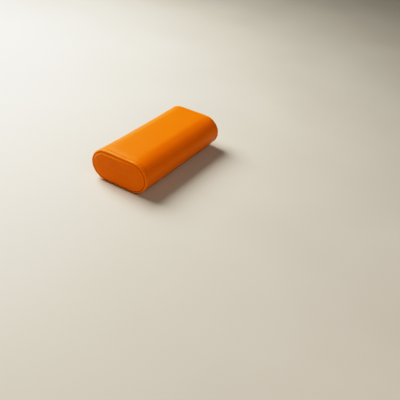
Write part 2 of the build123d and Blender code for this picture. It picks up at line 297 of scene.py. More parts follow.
def simulate():
    """How far the filling pushes the cover out, ring by ring, from a pressurised cloth."""
    # rings of the closed cover: near cap, wrap, far cap
    cap = np.linspace(CAP_CORE, PANEL_DEPTH, SIM_RINGS)
    x = np.pad(np.linspace(-HALF_LENGTH, HALF_LENGTH, SIM_ROWS), SIM_RINGS, "edge")
    depth = np.concatenate([cap, np.zeros(SIM_ROWS), cap[::-1]])
    s = column_middles(SIM_COLUMNS)
    y, z = oval(s, depth[:, None])
    points = surface(x[:, None], y, z)
    rows = len(x)
    faces = grid_faces(rows, SIM_COLUMNS, closed=True)
    faces += closing_strip(0, SIM_COLUMNS, flip=True)
    faces += closing_strip((rows - 1) * SIM_COLUMNS, SIM_COLUMNS)
    mesh = bpy.data.meshes.new("stuffed_cover")
    mesh.from_pydata((points.reshape(-1, 3) * MM).tolist(), [], faces)
    cloth_object = add_object("stuffed_cover", mesh)
    # the sewn rings hold their place, and so does what lies on the floor
    held = (np.abs(points[:, :, 0]) > HALF_LENGTH - 0.1) & (depth[:, None] < PANEL_DEPTH + 0.1)
    held |= (z < 0.5) & (depth[:, None] < 1)
    group = cloth_object.vertex_groups.new(name="held")
    group.add(np.flatnonzero(held.ravel()).tolist(), 1.0, "REPLACE")
    cloth = cloth_object.modifiers.new("cloth", "CLOTH")
    settings = cloth.settings
    settings.quality = 6
    settings.mass = 0.3
    settings.tension_stiffness = settings.compression_stiffness = 25
    settings.shear_stiffness = 15
    settings.bending_stiffness = 1.5
    settings.use_pressure = True
    settings.uniform_pressure_force = SIM_PRESSURE
    settings.vertex_group_mass = "held"
    settings.effector_weights.gravity = 0
    cloth.collision_settings.use_collision = False
    cloth.point_cache.frame_start = 1
    cloth.point_cache.frame_end = SIM_FRAMES
    for number in range(1, SIM_FRAMES + 1):
        scene.frame_set(number)
    result = cloth_object.evaluated_get(bpy.context.evaluated_depsgraph_get()).to_mesh()
    moved = np.zeros(len(result.vertices) * 3, np.float32)
    result.vertices.foreach_get("co", moved)
    moved = moved.reshape(points.shape) / MM - points
    cloth_object.to_mesh_clear()
    bpy.data.objects.remove(cloth_object)
    bpy.data.meshes.remove(mesh)
    scene.frame_set(1)
    outer_y, outer_z = oval(s, 0.0)
    inner_y, inner_z = oval(s, 1.0)
    out = moved[:, :, 1] * (outer_y - inner_y) + moved[:, :, 2] * (outer_z - inner_z)
    near, far = moved[:SIM_RINGS, :, 0], moved[-SIM_RINGS:, :, 0]
    return out[SIM_RINGS:-SIM_RINGS], -near[::-1], far


def spline_weight(t):
    t = np.abs(t)
    inner = (4 - 6 * t**2 + 3 * t**3) / 6
    return np.where(t < 1, inner, np.where(t < 2, (2 - np.minimum(t, 2)) ** 3 / 6, 0))


def sample(grid, row, s):
    """The simulated push, smoothed, at a fractional row and a distance round the cover."""
    row, column = np.broadcast_arrays(row, s * SIM_COLUMNS / PERIMETER - 0.5)
    first_row, first_column = np.floor(row).astype(int), np.floor(column).astype(int)
    total = np.zeros(row.shape)
    for i in range(-1, 3):
        at_row = np.clip(first_row + i, 0, grid.shape[0] - 1)
        row_weight = spline_weight(row - first_row - i)
        for j in range(-1, 3):
            at_column = np.mod(first_column + j, grid.shape[1])
            total += row_weight * spline_weight(column - first_column - j) * grid[at_row, at_column]
    return total


def capped(push, most):
    """The push scaled so that it levels off below a cap."""
    return most * np.tanh(push / most)


wrap_push, near_push, far_push = simulate()


# ---- puckers along the end seams


def make_puckers(seed):
    """Place, strength, width, reach and slant of each small gather along one end seam."""
    rng = np.random.RandomState(seed)
    found = []
    at = rng.uniform(0, 5)
    while at < PERIMETER - 3:
        found.append((at, rng.uniform(0.25, 1.0) ** 1.6, rng.uniform(1.2, 2.3), rng.uniform(5, 15),
                      rng.uniform(-0.18, 0.18)))
        at += rng.uniform(5.0, 10.5)
    return found


PUCKER_DEPTH = 1.2  # of the strongest gather
PUCKERS = {-1: make_puckers(11), 1: make_puckers(23)}


def gathers(s, away, end, scale=1.0):
    """Depth of the gathers at a distance away from the seam. end is -1 for near and 1 for far."""
    total = np.zeros(np.broadcast(s, away).shape)
    for at, strength, width, reach, slant in PUCKERS[end]:
        gap = np.mod(s - at - slant * away + PERIMETER / 2, PERIMETER) - PERIMETER / 2
        run = smooth(0.0, 2.6, away) * np.exp(-((away / reach) ** 2))
        total += strength * bump(gap, 0, width * (1 + 0.04 * away)) * run
    return total * PUCKER_DEPTH * scale * (0.2 + 0.8 * roundness(s))


# ---- materials


class Nodes:
    """Short calls for building one material's nodes."""

    def __init__(self, name):
        self.material = bpy.data.materials.new(name)
        self.material.use_nodes = True
        self.tree = self.material.node_tree
        self.tree.nodes.clear()
        self.out = self.tree.nodes.new("ShaderNodeOutputMaterial")
        self.shader = self.tree.nodes.new("ShaderNodeBsdfPrincipled")
        self.tree.links.new(self.shader.outputs[0], self.out.inputs[0])
        self.place = self.tree.nodes.new("ShaderNodeTexCoord").outputs["Object"]

    def link(self, value, socket):
        if isinstance(value, bpy.types.NodeSocket):
            self.tree.links.new(value, socket)
        else:
            socket.default_value = value

    def new(self, kind, **inputs):
        """A node with its named inputs linked or set."""
        node = self.tree.nodes.new("ShaderNode" + kind)
        for key, value in inputs.items():
            self.link(value, node.inputs[key])
        return node

    def math(self, operation, a, b=0.0, clamp=False):
        node = self.new("Math")
        node.operation = operation
        node.use_clamp = clamp
        self.link(a, node.inputs[0])
        self.link(b, node.inputs[1])
        return node.outputs[0]

    def stretch(self, scale, turn=(0, 0, 0)):
        return self.new("Mapping", Vector=self.place, Rotation=turn, Scale=scale).outputs[0]

    def noise(self, scale, detail=3.0, roughness=0.5, place=None, distortion=0.0):
        node = self.new("TexNoise", Vector=place or self.place, Scale=scale, Detail=detail,
                        Roughness=roughness, Distortion=distortion)
        return node.outputs["Fac"]

    def cells(self, scale, feature="DISTANCE_TO_EDGE"):
        node = self.new("TexVoronoi", Vector=self.place, Scale=scale)
        node.feature = feature
        return node.outputs["Distance"]

    def bands(self, scale, direction, distortion=0.0):
        node = self.new("TexWave", Vector=self.place, Scale=scale, Distortion=distortion)
        node.bands_direction = direction
        return node.outputs["Fac"]

    def value(self, name):
        node = self.new("Attribute")
        node.attribute_name = name
        return node.outputs["Fac"]

    def span(self, value, low, high, to_low=0.0, to_high=1.0):
        inputs = {"Value": value, "From Min": low, "From Max": high, "To Min": to_low, "To Max": to_high}
        return self.new("MapRange", **inputs).outputs[0]

    def mix(self, amount, a, b):
        node = self.new("Mix")
        node.data_type = "RGBA"
        self.link(amount, node.inputs["Factor"])
        for value, socket in ((a, node.inputs[6]), (b, node.inputs[7])):
            self.link(value if isinstance(value, bpy.types.NodeSocket) else (*value, 1.0), socket)
        return node.outputs[2]

    def bump(self, height, distance, strength=1.0, after=None):
        node = self.new("Bump", Distance=distance, Strength=strength, Height=height)
        if after is not None:
            self.link(after, node.inputs["Normal"])
        return node.outputs[0]

    def finish(self, colour, roughness, normal=None, **constants):
        self.link(colour, self.shader.inputs["Base Color"])
        self.link(roughness, self.shader.inputs["Roughness"])
        if normal is not None:
            self.link(normal, self.shader.inputs["Normal"])
        for key, number in constants.items():
            self.shader.inputs[key.replace("_", " ")].default_value = number
        return self.material


ORANGE = (0.87, 0.180, 0.0006)
ORANGE_DEEP = (0.80, 0.150, 0.0004)
ORANGE_WORN_AND_HIGHLIGHT = (1.0, 0.355, 0.050)
SEAM_SHADE = (0.36, 0.045, 0.001)


def coated_fabric():
    """Satin polyurethane coated fabric: fine pebble grain, faint unevenness, rims painted lighter as wear
    and as a painted highlight, seams painted darker as painted shade.
    """
    n = Nodes("orange_coated_fabric")
    tone = n.span(n.noise(16.0, 4.0, 0.55), 0.32, 0.68)
    fine = n.span(n.noise(240.0, 2.0), 0.3, 0.7)
    colour = n.mix(n.math("MULTIPLY", tone, 0.55), ORANGE, ORANGE_DEEP)
    colour = n.mix(n.math("MULTIPLY", fine, 0.10), colour, ORANGE_WORN_AND_HIGHLIGHT)
    # rims painted lighter: partly wear, partly a painted highlight where the rolled edges catch the light
    colour = n.mix(n.math("MULTIPLY", n.value("rim_wear_and_highlight"), 0.85), colour, ORANGE_WORN_AND_HIGHLIGHT)
    # painted shade: darker in the seam grooves, the lips' folds and along the allowance's step
    colour = n.mix(n.math("MULTIPLY", n.value("crease_shade"), 0.85, clamp=True), colour, SEAM_SHADE)
    pebble = n.span(n.cells(1150.0), 0.0, 0.32)
    skin = n.noise(420.0, 3.0, 0.6)
    normal = n.bump(pebble, 0.00008, 0.42)
    normal = n.bump(skin, 0.00018, 0.28, after=normal)
    rough = n.math("ADD", n.span(tone, 0, 1, 0.37, 0.44), n.span(pebble, 0, 1, 0.06, 0.0))
    rough = n.math("SUBTRACT", rough, n.math("MULTIPLY", n.value("rim_wear_and_highlight"), 0.14))
    return n.finish(colour, rough, normal, IOR=1.46, Specular_IOR_Level=0.45,
                    Specular_Tint=(1.0, 0.40, 0.08, 1.0))


def foam(name, light, dark, pores):
    """Open-cell foam: small dark pores between pale struts."""
    n = Nodes(name)
    pore = n.span(n.cells(pores, "F1"), 0.15, 0.55)
    tone = n.span(n.noise(30.0, 4.0), 0.3, 0.7)
    colour = n.mix(n.math("MULTIPLY", n.span(pore, 0, 1, 1, 0), 0.4), light, dark)
    colour = n.mix(n.math("MULTIPLY", tone, 0.2), colour, dark)
    normal = n.bump(pore, 0.0002, 0.5)
    rough = n.span(tone, 0, 1, 0.88, 0.97)
    return n.finish(colour, rough, normal, Specular_IOR_Level=0.2, Sheen_Weight=0.15)


def wadding():
    """Lofty polyester fibre: fine strands in all directions with a soft sheen."""
    n = Nodes("polyester_wadding")
    strands = n.noise(320.0, 4.0, 0.55, n.stretch((0.15, 1, 1)), 1.2)
    cross = n.noise(320.0, 4.0, 0.55, n.stretch((1, 0.15, 0.3)), 1.2)
    mat = n.math("MULTIPLY", strands, cross)
    tone = n.span(mat, 0.12, 0.4)
    colour = n.mix(tone, (0.74, 0.74, 0.71), (0.90, 0.90, 0.88))
    normal = n.bump(mat, 0.0005, 0.6)
    rough = n.span(tone, 0, 1, 0.80, 0.95)
    return n.finish(colour, rough, normal, Specular_IOR_Level=0.2, Sheen_Weight=0.4)


def thread():
    """Twisted polyester thread."""
    n = Nodes("orange_thread")
    twist = n.bands(900.0, "DIAGONAL")
    fuzz = n.noise(1500.0, 2.0)
    colour = n.mix(n.math("MULTIPLY", twist, 0.6), (0.80, 0.17, 0.015), (0.42, 0.065, 0.005))
    normal = n.bump(twist, 0.0001, 0.6)
    rough = n.span(fuzz, 0.3, 0.7, 0.50, 0.68)
    return n.finish(colour, rough, normal, Sheen_Weight=0.25)


def tape():
    """Woven zip tape: ribs along and across, in a darker orange."""
    n = Nodes("zip_tape_weave")
    rib = n.bands(520.0, "X", 0.6)
    cross = n.bands(430.0, "Z", 0.6)
    weave = n.math("MULTIPLY", rib, cross)
    tone = n.noise(60.0, 3.0)
    colour = n.mix(weave, (0.24, 0.038, 0.004), (0.52, 0.095, 0.008))
    colour = n.mix(n.math("MULTIPLY", tone, 0.3), colour, (0.30, 0.05, 0.006))
    normal = n.bump(weave, 0.00012, 0.8)
    rough = n.span(tone, 0.3, 0.7, 0.72, 0.86)
    return n.finish(colour, rough, normal, Sheen_Weight=0.2)


def moulded():
    """Moulded acetal of the zip's elements and stops."""
    n = Nodes("moulded_zip_plastic")
    tone = n.noise(180.0, 3.0)
    skin = n.noise(1400.0, 2.0)
    colour = n.mix(n.span(tone, 0.3, 0.7), (0.62, 0.11, 0.006), (0.72, 0.145, 0.01))
    normal = n.bump(skin, 0.00003, 0.5)
    rough = n.span(tone, 0.3, 0.7, 0.34, 0.46)
    return n.finish(colour, rough, normal, IOR=1.48)


def nickel():
    """Tumbled nickel plate with fine scratches, and duller where fingers rub it."""
    n = Nodes("nickel_plate")
    scratch = n.noise(900.0, 4.0, 0.7, n.stretch((0.08, 1, 1), (0, 0.2, 0)))
    patch = n.noise(120.0, 4.0)
    colour = n.mix(n.span(patch, 0.35, 0.7), (0.56, 0.54, 0.50), (0.74, 0.72, 0.68))
    normal = n.bump(scratch, 0.00003, 0.6)
    rough = n.math("ADD", n.span(patch, 0.3, 0.7, 0.20, 0.34), n.span(scratch, 0.3, 0.7, 0.0, 0.1))
    return n.finish(colour, rough, normal, Metallic=1.0)


# each look is a material and the name of its slot
FABRIC = coated_fabric(), "cover_leather"
FIRM_FOAM = foam("firm_foam", (0.66, 0.58, 0.36), (0.30, 0.24, 0.12), 1700.0), "firm_foam"
SOFT_FOAM = foam("comfort_foam", (0.80, 0.77, 0.68), (0.45, 0.41, 0.33), 2300.0), "soft_foam"
WADDING = wadding(), "wadding"
THREAD = thread(), "sewing_thread"
TAPE = tape(), "zip_tape"
PLASTIC = moulded(), "zip_plastic"
NICKEL = nickel(), "slider_metal"


# ---- cover


def fold(reach, depth, nose, under, over, count):
    """A folded edge: offsets from its nose and depths, from the allowance's cut edge to the face."""
    turn = np.linspace(0, math.pi / 2, count)
    offsets = [np.linspace(reach, under, 5)[:-1], under * (1 - np.sin(turn))]
    depths = [np.full(4, depth), nose + (depth - nose) * np.cos(turn)]
    offsets.append(over * (1 - np.cos(turn[1:])))
    depths.append(nose * (1 - np.sin(turn[1:])))
    return np.concatenate(offsets), np.concatenate(depths)


def stepped(*stops):
    """Numbers from stop to stop: (start, step, next start, step, ..., end)."""
    parts = []
    for start, step, end in zip(stops[0:-1:2], stops[1::2], stops[2::2]):
        count = max(1, round((end - start) / step))
        parts.append(start + (end - start) * np.arange(count) / count)
    return np.append(np.concatenate(parts), stops[-1])


def slot_gap(x):
    """Half the opening between the wrap's folded edges, measured round the cover."""
    lip = RADIUS * math.asin(SLOT_HALF / RADIUS)
    return SEAM_GAP + (lip - SEAM_GAP) * (1 - smooth(*SLOT_TAPER, np.abs(x)))


# heights of the wrap's relief
UNEVEN = 0.22  # slow unevenness all over
RIM_LIFT, ALLOWANCE_DIP = 1.5, 0.34  # the turned-in fabric at the ends, and the step past it
STITCH_DRAW, LIP_PLUMP, TUG = 0.42, 0.22, 0.10  # along the zip's stitch rows
SEAM_DRAW, SEAM_PROUD = 0.35, 0.28  # along the seams past the slot


def wrap_height(s, x, from_zip):
    """How far the wrap's face stands out from the nominal oval."""
    away = HALF_LENGTH - np.abs(x)
    row = (x / HALF_LENGTH + 1) / 2 * (SIM_ROWS - 1)
    crown = capped(sample(wrap_push, row, s), CROWN)
    height = crown * smooth(2, 26, away)
    height = height + UNEVEN * waves(s, x, 3, 60, 150) * smooth(4, 30, away)
    # the turned-in allowance lifts the face beside the seam, and its cut edge shows as a faint step
    lift = 0.75 + 0.25 * waves(s, x, 5, 40, 90)
    height = height + RIM_LIFT * lift * bump(away, 3.6, 3.0)
    height = height - ALLOWANCE_DIP * lift * bump(away, ALLOWANCE_STEP, 1.9)
    for end in (-1, 1):
        height = height - gathers(s, away, end) * (x * end > 0)
    # zip side: the stitch rows draw the face in, and the lips stay plump
    in_slot = smooth(STITCH_SPAN + 5, STITCH_SPAN - 2, np.abs(x))
    height = height - STITCH_DRAW * in_slot * bump(from_zip, STITCH_LINE, 1.1)
    height = height + LIP_PLUMP * in_slot * bump(from_zip, STITCH_LINE - 2.6, 1.1)
    tug = TUG * np.cos(2 * math.pi * x / 17.0 + 2 * waves(s, x, 8, 50, 90))
    height = height + tug * in_slot * bump(from_zip, STITCH_LINE + 4.0, 4.5)
    # past the slot the seam is drawn in, and its two edges sit proud
    seam = 1 - in_slot
    return height - seam * (SEAM_DRAW * bump(from_zip, 0, 1.3) - SEAM_PROUD * bump(from_zip, 4.2, 2.4))


# rows along X and columns round the section, closest at the rims, the slot's ends and the lips
RIM_FACE = RIM_ROLL + 0.6  # where the rim's roll meets the face
end_offsets, end_depths = fold(10.0, RIM_ROLL + 1.2, RIM_ROLL, 1.0, RIM_FACE, 9)
face_x = stepped(-HALF_LENGTH + RIM_FACE, 0.75, -153.5, 1.6, -142.0, 1.1, -126.0, 4.5, 0.0)[1:]
half = np.concatenate([-HALF_LENGTH + end_offsets, face_x])
wrap_x = np.concatenate([half, -half[-2::-1]])
half = np.concatenate([end_depths, np.zeros(len(face_x))])
wrap_end_depth = np.concatenate([half, half[-2::-1]])

LIP_NOSE = 1.3  # depth of a lip's folded edge
LIP_FACE = 1.6  # where a lip's fold meets the face
LIP_TRIM = (140, 152)  # |x| over which the lips' allowance is cut short
lip_offsets, lip_depths = fold(9.0, 2.55, LIP_NOSE, 1.2, LIP_FACE, 6)
face_s = stepped(LIP_FACE, 0.7, 15.0, 1.9, PERIMETER / 2)[1:]
half = np.concatenate([lip_offsets, face_s])
wrap_offset = np.concatenate([half, PERIMETER - half[-2::-1]])
half = np.concatenate([lip_depths, np.zeros(len(face_s))])
wrap_lip_depth = np.concatenate([half, half[-2::-1]])


def build_wrap():
    """The wrap, from its cut edges inside the ends and the zip's lips to its face."""
    x = wrap_x[:, None]
    offset = wrap_offset[None, :]
    gap = slot_gap(x) + 0.12 * waves(0 * x, x, 21, 40, 110) * smooth(139, 120, np.abs(x))
    upper = smooth(30, 5, offset)
    lower = smooth(30, 5, PERIMETER - offset)
    # behind the seams past the slot the lips' allowance is trimmed short and points straight in
    trimmed = smooth(*LIP_TRIM, np.abs(x)) * (wrap_lip_depth[None, :] > LIP_NOSE + 0.1)
    lip_depth = wrap_lip_depth[None, :] + 0.05 * np.minimum(offset, PERIMETER - offset) * trimmed
    rolled = wrap_end_depth[:, None] / RIM_ROLL
    short = 1 - trimmed
    offset = np.where(offset < PERIMETER / 2, offset * short, PERIMETER - (PERIMETER - offset) * short)
    # where the end rolls in, the folded edges open out flat along the seam
    flat = smooth(0.2, 0.8, rolled)
    on_lip = np.minimum(offset, PERIMETER - offset) < LIP_FACE + 0.05
    spread = 0.15 * flat * np.maximum(lip_depths.max() + 0.3 - lip_depth, 0) * on_lip
    offset = offset + np.where(offset < PERIMETER / 2, spread, -spread)
    s = offset + gap * upper - gap * lower
    from_zip = np.minimum(np.abs(s), np.abs(PERIMETER - s))
    depth = wrap_end_depth[:, None] + lip_depth * (1 - flat)
    shown = np.clip(1 - wrap_lip_depth[None, :] / 1.6, 0, 1) * np.clip(1 - rolled, 0, 1) ** 0.6
    height = wrap_height(s, x, from_zip) * shown
    y, z = oval(s, depth - height)
    away = HALF_LENGTH - np.abs(x)
    puffed = x + np.sign(x) * END_PUFF * smooth(20, 0, away)
    points = surface(puffed, y, lifted(x, z))
    # the rims are painted lighter, partly as wear and partly as a painted highlight, least on the plain
    # round side and less along the top
    wear_and_highlight_mask = 0.7 + 0.3 * waves(s, x, 31, 30, 80)
    wear_and_highlight_mask = wear_and_highlight_mask * (1 - 0.8 * smooth(-HALF_STRAIGHT, -HALF_STRAIGHT - 0.6 * RADIUS, y))
    wear_and_highlight_mask = wear_and_highlight_mask * (1 - 0.45 * smooth(HEIGHT - 14, HEIGHT, z))
    rim_wear_and_highlight = bump(away, 2.0, 3.0) * wear_and_highlight_mask * smooth(1.05, 0.8, rolled)
    # painted shade in the lips' folds, in the rolled ends and along the allowance's step
    crease_shade = 0.9 * smooth(0.7, 2.2, wrap_lip_depth[None, :]) + 0.9 * smooth(0.90, 1.06, rolled)
    crease_shade = crease_shade + 0.22 * bump(away, ALLOWANCE_STEP, 1.6) * shown
    shape = Shape().add(points, grid_faces(len(wrap_x), len(wrap_offset)))
    made = piece("cover_skin", shape, FABRIC, "cover_wrap", values={"rim_wear_and_highlight": rim_wear_and_highlight, "crease_shade": crease_shade})
    thicken(made)
    return made


def thicken(made):
    """Gives the fabric its thickness, inwards from the face that shows."""
    modifier = made.modifiers.new("fabric", "SOLIDIFY")
    modifier.thickness = FABRIC_THICKNESS * MM
    modifier.offset = -1.0
    modifier.use_even_offset = False


PANEL_COLUMNS = 232
PANEL_ROLL = 2.9  # how far in from its seam a panel reaches its full height
PANEL_DIP = 0.9  # how far the seam lies behind the wrap's end


def build_panel(end, push, word):
    """An oval end panel. end is -1 for near and 1 for far."""
    s = column_middles(PANEL_COLUMNS)[None, :]
    turn = np.linspace(0, math.pi / 2, 8)
    leg = np.linspace(-9.0, -PANEL_DIP, 4)[:-1]
    rise = -PANEL_DIP + (PANEL_OUT + PANEL_DIP) * np.sin(turn)
    face_depth = stepped(PANEL_DEPTH + PANEL_ROLL, 0.9, 16.0, 1.7, 30.0, 2.4, 42.0)[1:]
    out = np.concatenate([leg, rise, np.full(len(face_depth), PANEL_OUT)])[:, None]
    roll = PANEL_DEPTH + PANEL_ROLL * (1 - np.cos(turn))
    depth = np.concatenate([np.full(len(leg), PANEL_DEPTH), roll, face_depth])[:, None]
    away = depth - PANEL_DEPTH
    ring = (depth - PANEL_DEPTH) / (CAP_CORE - PANEL_DEPTH) * (SIM_RINGS - 1)
    dome = capped(sample(push[::-1], ring, s) * DOME_GAIN, DOME)
    shown = smooth(-PANEL_DIP, PANEL_OUT, out)
    lift = 0.8 + 0.2 * waves(s, depth, 41 + end, 40, 90)
    height = dome * smooth(1, 14, away) + 1.1 * lift * bump(away, 3.0, 1.6)
    height = height - 0.25 * lift * bump(away, 7.6, 2.2)
    height = height - gathers(s, away, end, 0.9)
    y, z = oval(s, depth)
    height = height + 0.18 * waves(y, z, 47 + end, 50, 110) * smooth(3, 14, away)
    x = end * (HALF_LENGTH + END_PUFF + out + height * shown)
    points = surface(x, y, lifted(x, z))
    rows = points.shape[0]
    faces = grid_faces(rows, PANEL_COLUMNS, closed=True, flip=end < 0)
    faces += closing_strip((rows - 1) * PANEL_COLUMNS, PANEL_COLUMNS, flip=end < 0)
    # painted highlight on the panel's edge roll, along its upper part towards the zip side
    rim_wear_and_highlight = bump(away, 4.2, 1.8) * shown * smooth(-40, 40, y) * smooth(20, 70, z)
    # painted shade on the panel's edge where it tucks into the seam
    crease_shade = 0.9 * smooth(0.1, -0.8, out) * np.ones_like(s)
    made = piece("end_panel_skin_" + word, Shape().add(points, faces), FABRIC, "end_panel_" + word,
                 values={"rim_wear_and_highlight": rim_wear_and_highlight, "crease_shade": crease_shade})
    thicken(made)
    return made


cover_skin = build_wrap()
near_skin = build_panel(-1, near_push, "near")
far_skin = build_panel(1, far_push, "far")


# ---- filling


def band(name, s_start, s_end, x_half, depth_out, depth_in, look, node, rough):
    """A slab of filling bent round the section, open between s_end and s_start."""
    s = np.linspace(s_start, s_end, 150)
    edge = 1.2
    run = edge * np.array([0, 0.3, 1.0])
    xs = np.concatenate([-x_half + run, np.linspace(-x_half + 6, x_half - 6, 60), x_half - run[::-1]])
    round_x = np.interp(np.minimum(x_half - np.abs(xs), edge), run, [1.0, 0.35, 0.0])
    outer = depth_out + edge * 0.8 * round_x[:, None]
    inner = depth_in - edge * 0.8 * round_x[:, None]
    lumps = rough * (waves(s[None, :], xs[:, None], 61, 9, 40, 16) - 1.0) * 0.5
    out_y, out_z = oval(s[None, :], outer - lumps)
    in_y, in_z = oval(s[None, ::-1], inner + 0 * xs[:, None])
    y, z = np.concatenate([out_y, in_y], 1), np.concatenate([out_z, in_z], 1)
    points = surface(xs[:, None], y, lifted(xs[:, None], z))
    columns = y.shape[1]
    faces = grid_faces(len(xs), columns, closed=True)
    for row, flip in ((0, True), (len(xs) - 1, False)):
        faces += closing_strip(row * columns, columns, flip)
    return piece(name, Shape().add(points, faces), look, node, sharp=50)


def block(name, node, depth, edge, look, rough, seed):
    """A solid oval block of filling with soft edges, as long as its CAD node."""
    x_low, x_high = (corner[0] for corner in node_box(node))
    columns = 120
    s = column_middles(columns)[None, :]
    rings = np.array([42.0, 36.0, 30.0, 24.0, 20.0])
    rings = rings[rings > depth + edge + 2]
    turn = np.linspace(0, math.pi / 2, 5)
    cap_x = np.concatenate([np.zeros(len(rings)), edge * (1 - np.cos(turn))])
    cap_depth = np.concatenate([rings, depth + edge * (1 - np.sin(turn))])
    body_x = np.linspace(x_low + edge, x_high - edge, max(3, round((x_high - x_low) / 6)))[1:-1]
    x = np.concatenate([x_low + cap_x, body_x, x_high - cap_x[::-1]])[:, None]
    depths = np.concatenate([cap_depth, np.full(len(body_x), depth), cap_depth[::-1]])[:, None]
    lumps = rough * (waves(s, x, seed, 12, 45, 14) - 1.0) * 0.5
    y, z = oval(s, depths - lumps)
    points = surface(x, y, lifted(x, z))
    rows = len(x)
    faces = grid_faces(rows, columns, closed=True) + closing_strip(0, columns, True)
    faces += closing_strip((rows - 1) * columns, columns)
    return piece(name, Shape().add(points, faces), look, node)


def depth_of(node):
    """Depth of a filling node's outer surface."""
    return HEIGHT - node_box(node)[1][2]


core = block("firm_core", "foam_core", depth_of("foam_core"), 2.0, FIRM_FOAM, 0.15, 71)
BASE_MIDDLE = 3 * QUARTER + 3 * HALF_STRAIGHT  # distance round to the middle of the base
BUTT_GAP = 0.4  # from there to each end of the comfort foam
comfort = band("comfort_foam", BASE_MIDDLE + BUTT_GAP - PERIMETER, BASE_MIDDLE - BUTT_GAP,
               node_box("soft_foam_wrap")[1][0], depth_of("soft_foam_wrap"), depth_of("foam_core") - 0.2,
               SOFT_FOAM, "soft_foam_wrap", 0.15)
wadding_edge = RADIUS * math.asin((TAPE_REACH + 2) / RADIUS)
wadding_half = node_box("fibre_end_pad_far")[0][0]  # the end pads fill what is left
wadding_wrap = band("wadding_wrap", wadding_edge, PERIMETER - wadding_edge, wadding_half,
                    depth_of("fibre_wrap") + 0.1, depth_of("soft_foam_wrap") - 0.2, WADDING,
                    "fibre_wrap", 0.5)
for end in ("near", "far"):
    pad_node = "fibre_end_pad_" + end
    block("end_wadding_" + end, pad_node, depth_of(pad_node) + 0.2, 2.5, WADDING, 0.4, 81)


# ---- zip

tape_out = node_box("zip_tape_upper")[1][1]
element_low, element_high = node_box("zip_elements_upper")
ELEMENT_PITCH = 2.0
TAPE_EDGE = 1.0  # from the middle of the zip to a tape, along the chain
TAPE_MEET = 0.06  # and past its ends
TAPE_CLOSING = (127.2, 130.0)  # |x| between the two
TAPE_POINTS = 9  # across each face of a tape
BEAD_RADIUS = 0.58
RUN_END = 113.4  # past this x the chain stays shut even with the slider at its limit
tape_depth = HALF_STRAIGHT + RADIUS - tape_out
tape_half_x = node_box("zip_tape_upper")[1][0]


def strip_shape(x_start, x_end, side):
    """A stretch of tape above (side 1) or below (side -1) the middle of the zip."""
    radius = RADIUS - tape_depth
    xs = np.linspace(x_start, x_end, max(2, round((x_end - x_start) / 1.5)))
    # past the chain the two tapes run together
    edge = TAPE_EDGE + (TAPE_MEET - TAPE_EDGE) * smooth(*TAPE_CLOSING, np.abs(xs))
    low = np.arcsin(edge / radius)[:, None] * RADIUS
    high = math.asin(TAPE_REACH / radius) * RADIUS
    across = np.linspace(0, 1, TAPE_POINTS)
    s = low + (high - low) * np.concatenate([across, across[::-1]])
    depth = tape_depth + np.repeat([0.03, 0.55], TAPE_POINTS)
    y, z = oval(s, depth[None, :] + 0 * s)
    z = MID + side * (z - MID)
    points = surface(xs[:, None], y, z)
    columns = 2 * TAPE_POINTS
    faces = grid_faces(len(xs), columns, closed=True, flip=side < 0)
    faces += closing_strip(0, columns, side > 0)
    faces += closing_strip((len(xs) - 1) * columns, columns, side < 0)
    return Shape().add(points, faces)


# half the outline of one element: height from the middle of the zip, and half its width
ELEMENT_PROFILE = (
    (-0.50, 0.18), (-0.38, 0.34), (-0.10, 0.42), (0.25, 0.42), (0.55, 0.33), (0.85, 0.27), (1.25, 0.27),
    (1.60, 0.36), (1.95, 0.44), (3.10, 0.46), (3.30, 0.38),
)


def elements_shape(x_start, x_end, side, first):
    """The elements and their bead between two x positions."""
    base, top = element_low[1], element_high[1]
    layers = ((base, 0.0), (base + 0.2, 1.0), (top - 0.45, 1.0), (top - 0.15, 0.82), (top, 0.5))
    profile = np.array(ELEMENT_PROFILE)
    heights = np.concatenate([profile[:, 0], profile[::-1, 0]])
    widths = np.concatenate([profile[:, 1], -profile[::-1, 1]])
    middle = 1.4
    shape = Shape()
    count = len(heights)
    faces = grid_faces(len(layers), count, closed=True, flip=side > 0)
    foot = list(range(count))
    cap = [i + (len(layers) - 1) * count for i in foot]
    faces += [cap, foot[::-1]] if side < 0 else [cap[::-1], foot]
    x = first
    while x < element_high[0] - 0.5:
        if x_start <= x < x_end:
            rings = []
            for y, share in layers:
                keep = 0.80 + 0.20 * share
                ring_x = x + widths * keep
                ring_z = MID + side * (middle + (heights - middle) * (0.9 + 0.1 * share))
                rings.append(np.stack([ring_x, np.full(count, y), ring_z], 1))
            shape.add(rings, faces)
        x += ELEMENT_PITCH
    bead_start, bead_end = max(x_start, element_low[0]), min(x_end, element_high[0])
    xs = np.linspace(bead_start, bead_end, 40)
    bead = np.stack([xs, np.full(40, base + 0.62), np.full(40, MID + side * 2.9)], 1)
    return shape.add(*tube(bead, BEAD_RADIUS))


def build_zip():
    """Tapes and elements. The run beside the slider's travel, where a real zip parts, is made as separate
    pieces, each with its own mesh.
    """
    for side, word, first in ((1, "upper", element_low[0] + 1), (-1, "lower", element_low[0] + 2)):
        for part, x_start, x_end in (("run", -tape_half_x, RUN_END), ("end", RUN_END, tape_half_x)):
            woven = piece(f"tape_{word}_{part}", strip_shape(x_start, x_end, side), TAPE,
                          "zip_tape_" + word, sharp=40)
            teeth = piece(f"elements_{word}_{part}", elements_shape(x_start, x_end, side, first), PLASTIC,
                          "zip_elements_" + word, sharp=40)
            if part == "run":
                for made in (woven, teeth):
                    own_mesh(made)


